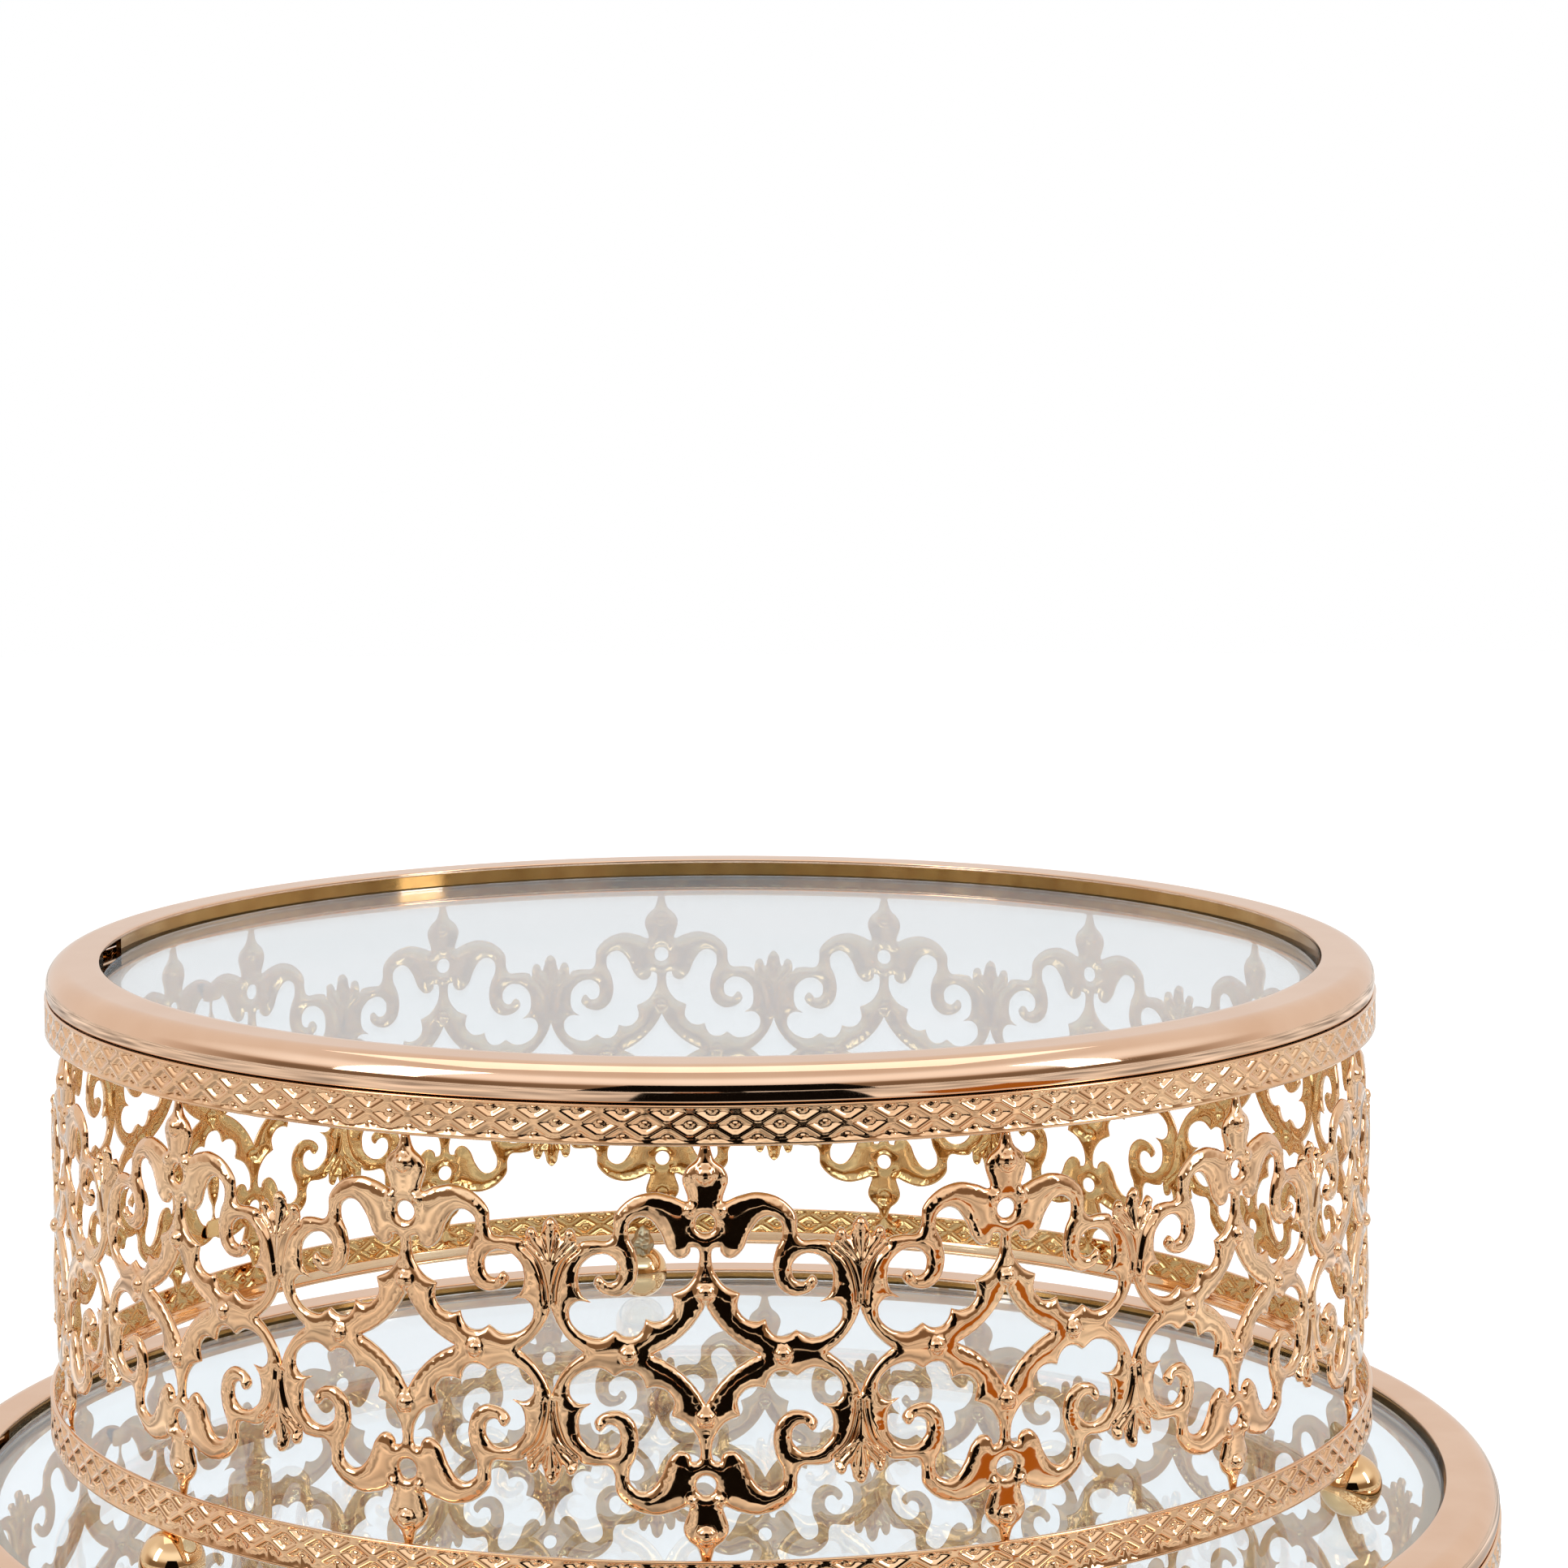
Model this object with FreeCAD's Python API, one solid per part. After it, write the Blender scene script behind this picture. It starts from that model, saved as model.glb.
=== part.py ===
import FreeCAD, Part
import os
from math import cos, pi, radians, sin

# A stand of two separate trays. Each tray is a glass plate in a rolled rim, on a wall of
# pierced strip between two embossed bands, on three ball feet. The upper tray stands on
# the lower tray's glass. Origin: middle of the footprint, on the surface it stands on.
# Angles are measured round the stand from the front (-Y), growing towards the right (+X).
# Depths are measured down from the top of a tray's rim.

Vector = FreeCAD.Vector
ORIGIN = Vector(0, 0, 0)
UP = Vector(0, 0, 1)

# Driving dimensions, mm and degrees
TRAY_RADIUS = {"lower": 152.5, "upper": 128.0}
GLASS_THICKNESS = {"lower": 5.5, "upper": 4.0}
GALLERY_REPEATS = {"lower": 18.5, "upper": 15.5}
FIRST_MEDALLION = {"lower": -116.5, "upper": -116.7}
FOOT_ANGLE = {
    "lower": {"front_left": -75.0, "front_right": 45.0, "rear": 165.0},
    "upper": {"front_left": -48.8, "front_right": 70.2, "rear": 187.5},
}

TRAY_HEIGHT = 101.5          # rim top to ball bottom
RIM_WIDTH = 10.4             # tray radius to the edge of the opening
RIM_HEIGHT = 5.9
RIM_SETBACK = 0.3            # the rim's wall stands this far inside the bands
RIM_SHOULDER = 2.6
SHEET = 0.8
COLLAR_THICKNESS = 1.0
COLLAR_SETBACK = 0.2
COLLAR_GAP = (-97.0, -88.5)  # the collar's two ends don't meet
SEAT_DEPTH = 7.5             # rim top to the glass's lower face
SEAT_LEDGE = 4.0
SEAT_THICKNESS = 1.0
GLASS_CLEARANCE = 0.4
GLASS_BEVEL = 0.5
REST_GAP = 0.1               # between loose pieces that rest on each other
SOLDER_GAP = 0.05            # between pieces that are soldered together

BAND_THICKNESS = 0.9
BAND_LIP = 0.35
BAND_LIP_HEIGHT = 0.8
TOP_BAND_DEPTH = 6.2
TOP_BAND_HEIGHT = 6.7
BASE_BAND_DEPTH = 81.8
BASE_BAND_HEIGHT = 7.8
HEM_WIDTH = 2.4

GALLERY_THICKNESS = 1.2
GALLERY_DEPTH = 47.8         # to the pattern's middle
GALLERY_HALF_HEIGHT = 37.5
SEAM_ANGLE = 0.15            # opening between the strip's two ends
SPLICE_WIDTH = 12.0
SPLICE_SPAN = (19.0, 37.0)   # above and below the pattern's middle
SPLICE_THICKNESS = 0.6

FOOT_RADIUS = 5.9
FOOT_SETBACK = 2.0
SOLDER_RADIUS = 2.6
SOLDER_HALF_HEIGHT = 4.2
SOLDER_SETBACK = 4.4

# Pattern of the pierced strip, mm from the middle of a medallion, as (along, up). One
# quarter is stated, and mirroring makes the rest.
STAR_SIDE = ((8.8, 0.0), (3.5, 3.4), (0.0, 8.2))
WAIST_SIDE = ((5.4, 0.0), (2.3, 2.7), (0.0, 7.2))
HOLE_HEIGHT = 21.8
HOLE_RADIUS = 1.6
SCROLL_OPENING = (
    (1.1, 15.2), (1.2, 17.4), (2.2, 19.0), (3.1, 17.9), (4.1, 16.2), (5.6, 17.0),
    (7.0, 20.0), (8.7, 22.6), (10.7, 23.2), (12.6, 22.0), (12.7, 19.8), (11.5, 17.6),
    (11.1, 14.6), (12.1, 11.2), (14.4, 9.6), (17.2, 9.8), (18.5, 11.6), (17.7, 13.2),
    (16.3, 11.7), (14.4, 12.5), (14.6, 15.3), (17.0, 16.4), (19.8, 15.2), (21.1, 12.4),
    (20.8, 10.0), (19.5, 8.4), (22.4, 7.4), (22.2, 4.8), (19.6, 3.0), (17.0, 2.7),
    (14.9, 3.5), (12.6, 3.4), (10.4, 5.2), (7.4, 5.9), (5.7, 8.2), (5.5, 10.2),
    (3.0, 11.8),
)
FINIAL_TAB = 3.0
CREST_EDGE = (
    (0.7, 34.9), (1.5, 32.4), (3.1, 30.9), (3.8, 28.9), (2.9, 25.5), (5.4, 26.3),
    (8.6, 26.9), (12.2, 25.9), (14.9, 23.3), (15.2, 20.4), (16.2, 18.9), (18.6, 18.9),
    (21.2, 17.9), (21.7, 19.6), (23.4, 20.4), (24.4, 21.7),
)
CREST_MIDDLE = 22.2
CUTTER_REACH = 8.0

# Derived heights
LOWER_GLASS_TOP = TRAY_HEIGHT - SEAT_DEPTH + GLASS_THICKNESS["lower"]
RIM_TOP = {"lower": TRAY_HEIGHT, "upper": LOWER_GLASS_TOP + REST_GAP + TRAY_HEIGHT}


def on_axis(radius, height):
    """Point in the half plane that profiles are revolved from."""
    return Vector(radius, 0, height)


def profile_face(corners):
    points = [on_axis(radius, height) for radius, height in corners]
    return Part.Face(Part.makePolygon(points + points[:1]))


def revolved(face, start=0.0, sweep=360.0):
    """Solid of revolution from one angle round the stand through a sweep."""
    solid = face.revolve(ORIGIN, UP, sweep)
    solid.rotate(ORIGIN, UP, start - 90.0)
    return solid


def box_profile(inner, outer, low, high):
    return profile_face(((inner, low), (outer, low), (outer, high), (inner, high)))


def rim(radius, top):
    """Pressed ring: a flat flange, a rounded shoulder and a short outer wall."""
    outer = radius - RIM_SETBACK
    inner_bend = radius - RIM_WIDTH + SHEET / 2
    low = top - RIM_HEIGHT
    under = top - SHEET
    bend = on_axis(outer - RIM_SHOULDER, top - RIM_SHOULDER)
    slant = on_axis(sin(radians(45)), cos(radians(45)))
    bend_inside = bend + slant * (RIM_SHOULDER - SHEET)
    edge_middle = on_axis(radius - RIM_WIDTH, top - SHEET / 2)
    outline = [
        Part.LineSegment(on_axis(outer, low), on_axis(outer, bend.z)),
        Part.Arc(on_axis(outer, bend.z), bend + slant * RIM_SHOULDER, on_axis(bend.x, top)),
        Part.LineSegment(on_axis(bend.x, top), on_axis(inner_bend, top)),
        Part.Arc(on_axis(inner_bend, top), edge_middle, on_axis(inner_bend, under)),
        Part.LineSegment(on_axis(inner_bend, under), on_axis(bend.x, under)),
        Part.Arc(on_axis(bend.x, under), bend_inside, on_axis(outer - SHEET, bend.z)),
        Part.LineSegment(on_axis(outer - SHEET, bend.z), on_axis(outer - SHEET, low)),
        Part.LineSegment(on_axis(outer - SHEET, low), on_axis(outer, low)),
    ]
    return revolved(Part.Face(Part.Wire([edge.toShape() for edge in outline])))


def collar(radius, top):
    """Upright strip between seat and flange, bent to a ring that stays open at its ends."""
    inner = radius - RIM_WIDTH + COLLAR_SETBACK
    profile = box_profile(inner, inner + COLLAR_THICKNESS, top - SEAT_DEPTH, top - SHEET)
    gap_start, gap_end = COLLAR_GAP
    return revolved(profile, gap_end, 360.0 - (gap_end - gap_start))


def seat_ring(radius, top):
    """Flat ledge inside the top band that carries the glass and the collar."""
    inner = radius - RIM_WIDTH - SEAT_LEDGE
    outer = radius - BAND_THICKNESS - SOLDER_GAP
    high = top - SEAT_DEPTH
    return revolved(box_profile(inner, outer, high - SEAT_THICKNESS, high))


def glass(radius, top, thickness):
    """Round plate with a ground bevel on both edges."""
    edge_radius = radius - RIM_WIDTH - GLASS_CLEARANCE
    low = Vector(0, 0, top - SEAT_DEPTH + REST_GAP)
    plate = Part.makeCylinder(edge_radius, thickness - REST_GAP, low)
    edges = [edge for edge in plate.Edges if isinstance(edge.Curve, Part.Circle)]
    return plate.makeChamfer(GLASS_BEVEL, edges)


def band(radius, high, height, hem_width=0.0):
    """Embossed strip with a raised lip along both edges, and an inward hem if it has one."""
    low = high - height
    body = radius - BAND_LIP
    inner = radius - BAND_THICKNESS
    corners = [
        (inner, high), (inner, low + SHEET), (inner - hem_width, low + SHEET),
        (inner - hem_width, low), (radius, low), (radius, low + BAND_LIP_HEIGHT),
        (body, low + BAND_LIP_HEIGHT), (body, high - BAND_LIP_HEIGHT),
        (radius, high - BAND_LIP_HEIGHT), (radius, high),
    ]
    if not hem_width:
        corners[1:4] = [(inner, low)]
    return revolved(profile_face(corners))


def flat_points(points, along=1, up=1):
    """Pattern points, mirrored as asked, on an upright plane that faces the front."""
    return [Vector(along * s, 0, up * t) for s, t in points]


def four_pointed(side):
    """Opening with four points and sides that bow inwards."""
    arcs = []
    for along, up in ((1, 1), (-1, 1), (-1, -1), (1, -1)):
        points = flat_points(side, along, up)
        arcs.append(Part.Arc(*points).toShape())
    return Part.Wire(Part.__sortEdges__(arcs))


def round_hole(up):
    centre = Vector(0, 0, up * HOLE_HEIGHT)
    return Part.Wire(Part.Circle(centre, Vector(0, -1, 0), HOLE_RADIUS).toShape())


def scroll_opening(along, up):
    """Opening between star, leaf and shell, with the free end of the scroll left in it."""
    curve = Part.BSplineCurve()
    curve.interpolate(flat_points(SCROLL_OPENING, along, up), PeriodicFlag=True)
    return Part.Wire(curve.toShape())


def crest_space(pitch_length, up):
    """Space above the scrolls and the shell, from one finial to the next."""
    half = pitch_length / 2
    left = [(s - half, t) for s, t in CREST_EDGE]
    right = [(-s, t) for s, t in reversed(left)]
    curve = Part.BSplineCurve()
    curve.interpolate(flat_points(left + [(0.0, CREST_MIDDLE)] + right, 1, up))
    tip = half - CREST_EDGE[0][0]
    tip_height = CREST_EDGE[0][1]
    tab = half - FINIAL_TAB
    over = GALLERY_HALF_HEIGHT + 1.0
    corners = (
        (tip, tip_height), (tab, tip_height + 1.0), (tab, over),
        (-tab, over), (-tab, tip_height + 1.0), (-tip, tip_height),
    )
    points = flat_points(corners, 1, up)
    lines = [Part.LineSegment(a, b).toShape() for a, b in zip(points, points[1:])]
    return Part.Wire([curve.toShape()] + lines)


def gallery_repeat(radius, middle, pitch):
    """One repeat of the strip, bent to its radius, with the medallion at the front."""
    pitch_length = 2 * pi * radius * pitch / 360.0

    def prism(outline, steps=0.0):
        face = Part.Face(outline)
        face.translate(Vector(0, -radius - CUTTER_REACH, middle))
        solid = face.extrude(Vector(0, 2 * CUTTER_REACH, 0))
        solid.rotate(ORIGIN, UP, steps * pitch)
        return solid

    cutters = [prism(four_pointed(STAR_SIDE))]
    cutters += [prism(four_pointed(WAIST_SIDE), side / 2) for side in (-1, 1)]
    for up in (1, -1):
        cutters.append(prism(round_hole(up)))
        cutters += [prism(scroll_opening(along, up)) for along in (-1, 1)]
        cutters += [prism(crest_space(pitch_length, up), side / 2) for side in (-1, 1)]
    strip = revolved(strip_profile(radius, middle), -pitch / 2, pitch)
    return strip.cut(cutters)


def strip_profile(radius, middle, extra=0.0):
    low = middle - GALLERY_HALF_HEIGHT - extra
    high = middle + GALLERY_HALF_HEIGHT + extra
    return box_profile(radius - GALLERY_THICKNESS - extra, radius + extra, low, high)


def cut_short(repeat, radius, middle, start, end):
    """The largest piece of a repeat between two angles; what falls off is scrap."""
    keep = revolved(strip_profile(radius, middle, CUTTER_REACH), start, end - start)
    return max(repeat.common(keep).Solids, key=lambda solid: solid.Volume)


def gallery(tier, radius, top):
    """Pierced strip bent to a ring, with a butt seam where its pattern doesn't close."""
    outer = radius - BAND_THICKNESS - 2 * SOLDER_GAP
    middle = top - GALLERY_DEPTH
    repeats = GALLERY_REPEATS[tier]
    pitch = 360.0 / repeats
    last = int(repeats)
    repeat = gallery_repeat(outer, middle, pitch)
    sectors = [repeat.copy() for _ in range(last + 1)]
    sectors[0] = cut_short(repeat, outer, middle, -pitch / 4 + SEAM_ANGLE, pitch)
    sectors[last] = cut_short(repeat, outer, middle, -pitch, pitch / 4)
    for step, sector in enumerate(sectors):
        sector.rotate(ORIGIN, UP, FIRST_MEDALLION[tier] + step * pitch)
    return sectors[0].multiFuse(sectors[1:])


def splice(tier, radius, top):
    """Two plain plates soldered behind the strip's ends, at the top and at the bottom."""
    outer = radius - BAND_THICKNESS - 3 * SOLDER_GAP - GALLERY_THICKNESS
    middle = top - GALLERY_DEPTH
    pitch = 360.0 / GALLERY_REPEATS[tier]
    sweep = 360.0 * SPLICE_WIDTH / (2 * pi * outer)
    start = FIRST_MEDALLION[tier] - pitch / 4 - sweep / 2
    plates = []
    for low, high in (SPLICE_SPAN, (-SPLICE_SPAN[1], -SPLICE_SPAN[0])):
        profile = box_profile(outer - SPLICE_THICKNESS, outer, middle + low, middle + high)
        plates.append(revolved(profile, start, sweep))
    return Part.makeCompound(plates)


def around(radius, angle, height):
    return Vector(radius * sin(radians(angle)), -radius * cos(radians(angle)), height)


def ball_foot(radius, angle, bottom, extra=0.0):
    centre = around(radius - FOOT_SETBACK, angle, bottom + FOOT_RADIUS)
    return Part.makeSphere(FOOT_RADIUS + extra, centre)


def solder_joint(radius, angle, band_low, neighbours):
    """Lump of solder behind a ball, between it and the base band."""
    centre = around(radius - SOLDER_SETBACK, angle, band_low)
    axis = Vector(centre.x, centre.y, 0)
    ellipse = Part.Ellipse(ORIGIN, SOLDER_HALF_HEIGHT, SOLDER_RADIUS)
    half = Part.ArcOfEllipse(ellipse, 0, pi).toShape()
    closing = Part.LineSegment(half.lastVertex().Point, half.firstVertex().Point)
    lump = Part.Face(Part.Wire([half, closing.toShape()])).revolve(ORIGIN, Vector(1, 0, 0), 360)
    lump.rotate(ORIGIN, Vector(0, 1, 0), 90)
    lump.translate(axis + Vector(0, 0, band_low))
    return lump.cut(neighbours)


def tray(tier):
    """Every piece of one tray, by name."""
    radius = TRAY_RADIUS[tier]
    top = RIM_TOP[tier]
    bottom = top - TRAY_HEIGHT
    base_high = top - BASE_BAND_DEPTH
    base_low = base_high - BASE_BAND_HEIGHT
    base_band = band(radius, base_high, BASE_BAND_HEIGHT, HEM_WIDTH)
    pieces = {
        "rim": rim(radius, top),
        "collar": collar(radius, top),
        "seat_ring": seat_ring(radius, top),
        "glass": glass(radius, top, GLASS_THICKNESS[tier]),
        "top_band": band(radius, top - TOP_BAND_DEPTH, TOP_BAND_HEIGHT),
        "gallery": gallery(tier, radius, top),
        "gallery_splice": splice(tier, radius, top),
        "base_band": base_band,
    }
    joints = []
    for place, angle in FOOT_ANGLE[tier].items():
        pieces["foot_" + place] = ball_foot(radius, angle, bottom)
        beside = [ball_foot(radius, angle, bottom, SOLDER_GAP), base_band]
        joints.append(solder_joint(radius, angle, base_low, beside))
    pieces["foot_solder"] = Part.makeCompound(joints)
    return pieces


os.makedirs("parts", exist_ok=True)
for tier_name in TRAY_RADIUS:
    for piece_name, shape in tray(tier_name).items():
        shape.exportStep(f"parts/{tier_name}_{piece_name}.step")
        print(tier_name, piece_name, len(shape.Solids), shape.isValid(), round(shape.Volume))
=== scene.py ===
from math import ceil, cos, hypot, pi, radians, sin, tau

import bmesh
import bpy
import numpy as np
from mathutils import Matrix, Vector, noise
from mathutils.geometry import delaunay_2d_cdt


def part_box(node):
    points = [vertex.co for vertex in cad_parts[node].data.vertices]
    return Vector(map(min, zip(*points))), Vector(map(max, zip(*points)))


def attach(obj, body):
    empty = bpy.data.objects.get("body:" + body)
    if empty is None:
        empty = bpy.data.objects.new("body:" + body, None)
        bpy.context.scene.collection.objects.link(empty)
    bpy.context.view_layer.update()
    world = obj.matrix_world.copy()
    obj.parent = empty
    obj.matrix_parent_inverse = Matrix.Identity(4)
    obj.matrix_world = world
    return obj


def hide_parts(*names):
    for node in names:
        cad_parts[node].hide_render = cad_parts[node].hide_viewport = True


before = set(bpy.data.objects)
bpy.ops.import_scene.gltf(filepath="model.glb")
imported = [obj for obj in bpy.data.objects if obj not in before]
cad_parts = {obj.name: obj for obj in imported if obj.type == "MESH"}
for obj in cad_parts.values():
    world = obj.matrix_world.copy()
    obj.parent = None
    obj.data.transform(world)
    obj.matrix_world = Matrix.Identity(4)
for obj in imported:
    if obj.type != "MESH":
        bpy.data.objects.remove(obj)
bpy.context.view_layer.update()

# A stand of two loose trays: glass in a rolled rim, on a wall of pierced and embossed
# strip between two bands of diamonds, on ball feet. Geometry is worked out in
# millimetres and written in metres. Angles go round from the front (-Y) towards +X.

MM = 0.001
TIERS = ("lower", "upper")

# The pierced strip
GALLERY_INSET = 1.0          # band radius to the strip's land
GALLERY_REPEATS = {"lower": 18.5, "upper": 15.5}
FIRST_MEDALLION = {"lower": -116.5, "upper": -116.7}
SECTOR_REPEATS = 4           # repeats in one piece
RELIEF = 1.0                 # edge to land
ROLL = 1.75                  # width of the rolled edge
BACK_ROLL = (0.55, 1.5)      # where the back falls from its rim to the sunk land
GAUGE = 0.3                  # thickness of the strip's sheet
EDGE = 0.15                  # at an outline, the back stands this far behind the front
PILLOW = 0.12                # extra height in the middle of wide lands
PILLOW_WIDTH = 2.5           # from the rolled edge to the full pillow
SOFTENING = 5                # rounds of averaging that round off narrow arms
SOFT_FROM = 0.4              # averaging leaves the outline's own edge alone
BACK_DETAIL = 0.8            # share of a boss or groove that shows on the back
ROWS = (0.09, 0.28, 0.55, 0.95)  # mesh rows beside an outline
STEP = 0.42                  # spacing of points along an outline
FILL = 0.55                  # spacing of points on the lands
LAND_FROM = 1.1              # the even fill starts this far from an outline
LAND_CLEARANCE = 0.33        # least distance from a point of the fill to its neighbours
CLEARANCES = (0.12, 0.17, 0.2)  # the same for points of bosses, outlines and ribs
BORDER_STEP = 0.3            # spacing of points along a repeat's borders
BORDER_MARGIN = 0.1          # free points keep this far inside them
TOP = 37.5                   # half the strip's height


def box_mm(node):
    low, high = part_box(node)
    return np.array(low) / MM, np.array(high) / MM


def mesh_object(name, points, triangles, material_ids=None):
    """Object from points in millimetres and an array of triangles."""
    mesh = bpy.data.meshes.new(name)
    count = len(triangles)
    mesh.vertices.add(len(points))
    mesh.vertices.foreach_set("co", (np.asarray(points) * MM).astype(np.float32).ravel())
    mesh.loops.add(count * 3)
    mesh.loops.foreach_set("vertex_index", np.asarray(triangles, dtype=np.int32).ravel())
    mesh.polygons.add(count)
    mesh.polygons.foreach_set("loop_start", np.arange(0, count * 3, 3, dtype=np.int32))
    if material_ids is not None:
        mesh.polygons.foreach_set("material_index", np.asarray(material_ids, dtype=np.int32))
    mesh.update(calc_edges=True)
    mesh.validate()
    mesh.shade_smooth()
    made = bpy.data.objects.new(name, mesh)
    bpy.context.scene.collection.objects.link(made)
    return made


# ---------------------------------------------------------------- pattern of the strip

STAR_SIDE = ((8.8, 0.0), (3.5, 3.4), (0.0, 8.2))
WAIST_SIDE = ((5.4, 0.0), (2.3, 2.7), (0.0, 7.2))
HOLE = (0.0, 21.8, 1.6)
SCROLL_OPENING = (           # smooth runs that meet in corners
    ((5.7, 10.2), (3.2, 11.5), (1.5, 13.8), (1.0, 16.2), (1.3, 17.6), (2.4, 17.8)),
    ((2.4, 17.8), (2.5, 17.0), (3.4, 16.1), (4.8, 16.1), (6.3, 17.6), (7.4, 20.2),
     (9.0, 22.3), (10.8, 22.8), (12.5, 21.6), (12.6, 19.4), (11.6, 17.2), (11.1, 14.2),
     (11.9, 11.2), (14.2, 9.5), (17.0, 9.9), (18.6, 11.6), (17.6, 13.1), (16.2, 11.9),
     (14.6, 12.6), (14.4, 14.8), (16.2, 16.4), (18.7, 16.1), (20.7, 14.2), (21.1, 11.6),
     (20.5, 9.6), (19.0, 8.4)),
    ((19.0, 8.4), (21.2, 8.5), (22.6, 7.1), (22.3, 4.9), (20.2, 3.1), (17.4, 2.6), (15.0, 3.9)),
    ((15.0, 3.9), (13.4, 3.0), (11.6, 3.1), (10.4, 4.3), (9.9, 5.9)),
    ((9.9, 5.9), (8.4, 5.5), (6.6, 6.0), (5.3, 7.8), (5.7, 10.2)),
)
CREST_EDGE = (
    (0.7, 34.9), (1.5, 32.4), (3.1, 30.9), (3.8, 28.9), (2.9, 25.5), (5.4, 26.3),
    (8.6, 26.9), (12.2, 25.9), (14.9, 23.3), (15.2, 20.4), (16.2, 18.9), (18.6, 18.9),
    (20.6, 18.6), (21.3, 17.7), (21.4, 19.1), (21.7, 20.2), (22.5, 20.7), (23.2, 20.2),
    (23.8, 18.9), (24.3, 20.2), (24.6, 21.5),
)
CREST_MIDDLE = 22.5
TAB = ((3.0, TOP), (3.0, 35.9))
# Bosses and pearls: along, up, radius, height
BOSSES = (
    (0.0, 10.4, 1.45, 0.95), (12.7, 0.0, 1.35, 0.9), (0.0, 30.0, 1.6, 1.0),
    (2.5, 24.2, 0.8, 0.45), (17.4, 12.2, 0.95, 0.5), (22.5, 19.8, 0.85, 0.4),
    (25.7, 21.5, 0.9, 0.4),
)
# The shell is a fan of ribs on the repeat's border
FAN_APEX_UP = 14.4
FAN_RIB_ANGLE = radians(30)
FAN_RIB_DEPTH = 0.95
FAN_START = 0.7              # distance from the apex to the first of the ribs
FAN_REACH = 8.5
# Grooves: depth, half width, and a line of points. They part the shell from the scrolls.
GROOVES = (
    (0.8, 0.75, ((21.2, 17.4), (23.3, 15.4), (24.4, 13.0), (25.0, 10.2), (25.1, 8.4))),
)


def smooth_curve(points, parts=8):
    """Catmull-Rom curve through points."""
    points = np.array(points, dtype=float)
    around = np.vstack([2 * points[0] - points[1], points, 2 * points[-1] - points[-2]])
    steps = np.linspace(0, 1, parts, endpoint=False)[:, None]
    made = []
    for a, b, c, d in zip(around, around[1:], around[2:], around[3:]):
        made.append(0.5 * (2 * b + (c - a) * steps + (2 * a - 5 * b + 4 * c - d) * steps**2
                           + (3 * b - a - 3 * c + d) * steps**3))
    return np.vstack(made + [points[-1:]])


def spaced(line, step=STEP):
    """The same line with points at even distances."""
    lengths = np.hypot(*np.diff(line, axis=0).T)
    along = np.concatenate([[0], np.cumsum(lengths)])
    marks = np.linspace(0, along[-1], max(2, round(along[-1] / step) + 1))
    return np.column_stack([np.interp(marks, along, line[:, k]) for k in (0, 1)])


def arc_through(a, b, c, parts=24):
    a, b, c = (complex(*point) for point in (a, b, c))
    w = (c - a) / (b - a)
    centre = (b - a) * (w - abs(w) ** 2) / (2j * w.imag) + a
    start = np.angle(a - centre)
    sweep = (np.angle(c - centre) - start + pi) % tau - pi
    angles = start + sweep * np.linspace(0, 1, parts)
    turned = centre + abs(a - centre) * np.exp(1j * angles)
    return np.column_stack([turned.real, turned.imag])


def quarter_outlines(half):
    """Outlines in one quarter of a repeat, and the closed openings that they bound."""
    star = spaced(arc_through(*STAR_SIDE))
    waist = spaced(arc_through(*[(half - s, t) for s, t in WAIST_SIDE]))
    angles = np.linspace(-pi / 2, pi / 2, 11)
    s, t, radius = HOLE
    hole = np.column_stack([s + radius * np.cos(angles), t + radius * np.sin(angles)])
    scroll = np.vstack([spaced(smooth_curve(run))[1:] for run in SCROLL_OPENING])
    scroll = np.vstack([scroll[-1:], scroll])
    mirrored = [(2 * half - s, t) for s, t in reversed(CREST_EDGE)]
    crest = smooth_curve(CREST_EDGE + ((half, CREST_MIDDLE),) + tuple(mirrored[:1]))
    crest = np.vstack([TAB, spaced(crest[crest[:, 0] <= half + 1e-6])])
    outlines = [star, waist, hole, scroll, crest]
    corners = {0: [(0, 0)], 1: [(half, 0)], 2: [], 3: [], 4: [(half, TOP)]}
    openings = [np.vstack([line] + [corners[k]] * bool(corners[k]))
                for k, line in enumerate(outlines)]
    return outlines, openings


def distance_to(points, outlines):
    """Distance from each point to the nearest outline."""
    nearest = np.full(len(points), np.inf)
    for line in outlines:
        for a, b in zip(line, line[1:]):
            run = b - a
            share = np.clip(((points - a) @ run) / max(run @ run, 1e-12), 0, 1)
            gap = points - a - share[:, None] * run
            nearest = np.minimum(nearest, np.hypot(gap[:, 0], gap[:, 1]))
    return nearest


def inside(points, polygon):
    """Even-odd test of points against a closed polygon."""
    odd = np.zeros(len(points), dtype=bool)
    for a, b in zip(polygon, np.roll(polygon, -1, axis=0)):
        crosses = (a[1] > points[:, 1]) != (b[1] > points[:, 1])
        if a[1] != b[1]:
            at = a[0] + (points[:, 1] - a[1]) * (b[0] - a[0]) / (b[1] - a[1])
            odd ^= crosses & (points[:, 0] < at)
    return odd


def in_metal(points, openings):
    return ~np.any([inside(points, opening) for opening in openings], axis=0)


def rounded(share):
    return np.sqrt(1 - (1 - np.clip(share, 0, 1)) ** 2)


def groove_line(points):
    return spaced(smooth_curve(points))


def base_heights(edge):
    """Front and back face without bosses and grooves, from the distance to the edge."""
    climb = np.clip((edge - ROLL) / PILLOW_WIDTH, 0, 1)
    pillow = PILLOW * climb**2 * (3 - 2 * climb)
    start, end = BACK_ROLL
    fall = np.clip((edge - start) / (end - start), 0, 1)
    sunk = (RELIEF - GAUGE) * fall**2 * (3 - 2 * fall)
    return RELIEF * rounded(edge / ROLL) + pillow, sunk + pillow - EDGE


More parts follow.
